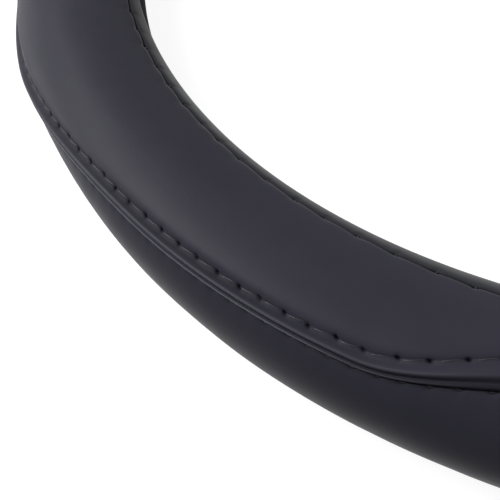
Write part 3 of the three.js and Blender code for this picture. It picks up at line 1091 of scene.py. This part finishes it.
# %% Joining stitches and the cross seams
theta = join_marks.angles() % 360
travel = folded_edge(from_side(theta)) + JOIN_PLACE
join_stitches = stitches(
    "join_stitches", theta, travel, outer_height(theta, travel) + 0.12,
    place(theta + 0.2, travel + 0.12, SKIN_TOP) - place(theta - 0.2, travel - 0.12, SKIN_TOP),
    Stitch_length=1.5, Thread_thickness=0.30, Rise=0.08, Sink=0.25, Slant=8.0,
)
cross_travel = np.concatenate([
    np.arange(-REAR_SEAM + 2.5, folded_edge(90.0) - 1.5, 4.5),
    [stitch_row(90.0) - 3.2, stitch_row(90.0) + 3.0],
])
theta = np.repeat([90.0, 270.0], len(cross_travel))
travel = np.tile(cross_travel, 2)
on_front = travel > folded_edge(90.0)
height = np.where(on_front, front_height(theta, travel), outer_height(theta, travel)) - 0.45
cross_stitches = stitches(
    "cross_stitches", theta, travel, height,
    place(theta + 0.2, travel, height) - place(theta - 0.2, travel, height),
    Stitch_length=1.8, Thread_thickness=0.36, Rise=0.2, Sink=0.45, Slant=6.0,
)

# %% [markdown]
# ## Dress the pieces and hand them to the frame
#
# Each fine piece takes its finish, rides on the ring's one body and stands for the plain solid
# in its place. The leather pieces are sheets that are stretched over the form. A table lists the
# width, length and area of their flat cuts: strips for the bindings and the outer panels, crescents
# for the front panels; only the areas are used, printed beside the area measured on one layer. No
# pattern was at hand: the flat areas follow from the finished skins, about 3% over the area
# measured on one layer, so that their agreement proves nothing. The foam is padding.

# %% Materials and frame calls
for piece, finish in (
    *((p, panel_leather) for p in (*front_skin.values(), *outer_skin.values())),
    (front_band, band_leather), (rear_band, band_leather), (padding, foam_finish),
):
    piece.data.materials.append(finish)

stands_for = [
    (front_skin["left"], "front_panel_left", "panel_leather"),
    (front_skin["right"], "front_panel_right", "panel_leather"),
    (outer_skin["left"], "outer_panel_left", "panel_leather"),
    (outer_skin["right"], "outer_panel_right", "panel_leather"),
    (front_band, "front_binding", "binding_leather"),
    (rear_band, "rear_binding", "binding_leather"),
    (padding, "foam_padding", "foam"),
    (rubber_ring, "grip_ring", "rubber"),
]
for piece, node, slot in stands_for:
    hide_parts(node)
    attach(piece, "root")
for piece in (topstitches, hem_stitches, rear_stitches, join_stitches, cross_stitches):
    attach(piece, "root")


def one_layer(piece):
    mesh = piece.data
    mesh.calc_loop_triangles()
    return sum(t.area for t in mesh.loop_triangles) / 2


CUTS = [
    (front_skin["left"], 0.052, 0.56, 0.0175), (front_skin["right"], 0.052, 0.56, 0.0175),
    (outer_skin["left"], 0.082, 0.60, 0.0370), (outer_skin["right"], 0.082, 0.60, 0.0370),
    (front_band, 0.022, 0.98, 0.0158), (rear_band, 0.016, 0.95, 0.0126),
]
sides = np.linspace(0, 90, 91)
for label, widths in (
    ("front panel", front_hem_seam(sides) - folded_edge(sides)),
    ("outer panel", REAR_SEAM + stitch_row(sides) + TONGUE_LENGTH),
    ("front binding", LIP - front_hem_seam(sides) + BINDING_RETURN + LEATHER),
):
    print(f"{label}: {widths.min():.1f} to {widths.max():.1f} mm wide")
for piece, width, long, area in CUTS:
    print(f"{piece.name}: measured {one_layer(piece):.4f} m2, cut {area} m2")

# %% [markdown]
# ## Floor and light
#
# The photograph is cut out on pure white. The cover lies on a pale table that keeps its soft
# shadow, and where the camera, the gloss or clear things look at it, a glow lifts it to white.
# The room is the same white to them, and lights the ring at a plain level. One large soft lamp
# stands to the left of the ring, which puts the broad highlight along the front panel. A low
# lamp beside it lights the outer panel, and weak ones stand overhead and behind.

# %% Floor
def seen_as_white(finish):
    """1 for the rays that look at the background, 0 for those that light the object."""
    rays = finish.node("ShaderNodeLightPath")
    ray_sum = rays["Is Camera Ray"] + rays["Is Glossy Ray"] + rays["Is Transmission Ray"]
    return finish.node("ShaderNodeClamp", None, {"Value": ray_sum})[0]


FLOOR_COLOUR, FLOOR_GLOW = (0.16, 0.16, 0.16, 1), 0.90
FLOOR_REACH, FLOOR_DROP = 20.0, 0.0002


def floor():
    mesh = bpy.data.meshes.new("floor")
    ends = [(-1, -1), (1, -1), (1, 1), (-1, 1)]
    mesh.from_pydata([(FLOOR_REACH * x, FLOOR_REACH * y, 0) for x, y in ends], [], [(0, 1, 2, 3)])
    piece = add_object("floor", mesh)
    piece.location.z = -FLOOR_DROP
    table = Finish("pale table")
    table.set(Base_Color=FLOOR_COLOUR, Roughness=0.9, Specular_IOR_Level=0.0)
    glow = table.node("ShaderNodeEmission", None, {"Strength": FLOOR_GLOW})["Emission"]
    lit = Wire(table, table.shader.outputs[0])
    white = table.node("ShaderNodeAddShader", None, {0: lit, 1: glow})[0]
    shown = table.node("ShaderNodeMixShader", None, {0: seen_as_white(table), 1: lit, 2: white})[0]
    table.connect(shown, table.tree.nodes["Material Output"].inputs["Surface"])
    mesh.materials.append(table.material)
    return piece


floor()

# %% Surroundings and lamps
bpy.context.scene.view_settings.view_transform = "Standard"


class Surroundings(Finish):
    """The world's own tree, with the same helpers as a finish."""

    def __init__(self, name):
        self.world = bpy.data.worlds.new(name)
        self.world.use_nodes = True
        self.tree = self.world.node_tree


ROOM_LIGHT = 0.20
room = Surroundings("white room")
background = room.tree.nodes["Background"]
background.inputs["Color"].default_value = (1, 1, 1, 1)
background.inputs["Strength"].default_value = ROOM_LIGHT
plain_light = Wire(room, background.outputs[0])
white = room.node("ShaderNodeBackground", None, {"Color": (1, 1, 1, 1), "Strength": 1.0})[0]
shown = room.node("ShaderNodeMixShader", None, {0: seen_as_white(room), 1: plain_light, 2: white})[0]
room.connect(shown, room.tree.nodes["World Output"].inputs["Surface"])
bpy.context.scene.world = room.world


def soft_lamp(name, position, target, size, power):
    data = bpy.data.lights.new(name, "AREA")
    data.shape = "RECTANGLE"
    data.size, data.size_y = size
    data.energy = power
    lamp = add_object(name, data)
    lamp.location = position
    lamp.rotation_euler = (Vector(target) - Vector(position)).to_track_quat("-Z", "Y").to_euler()
    return lamp


LEFT_FACE, NEAR_MIDDLE = (-0.12, -0.1, 0.03), (-0.08, -0.1, 0.03)
key = soft_lamp("key lamp", (-0.95, 0.30, 1.2), LEFT_FACE, (0.9, 0.9), 38.0)
soft_lamp("side lamp", (-1.35, 0.36, 0.38), LEFT_FACE, (0.6, 0.6), 6.0)
soft_lamp("overhead lamp", (-0.1, -0.2, 1.6), NEAR_MIDDLE, (1.2, 1.2), 2.5)
soft_lamp("lamp behind", (0.9, 1.1, 0.9), NEAR_MIDDLE, (1.2, 1.2), 6.0)
print("key lamp at", tuple(key.location))
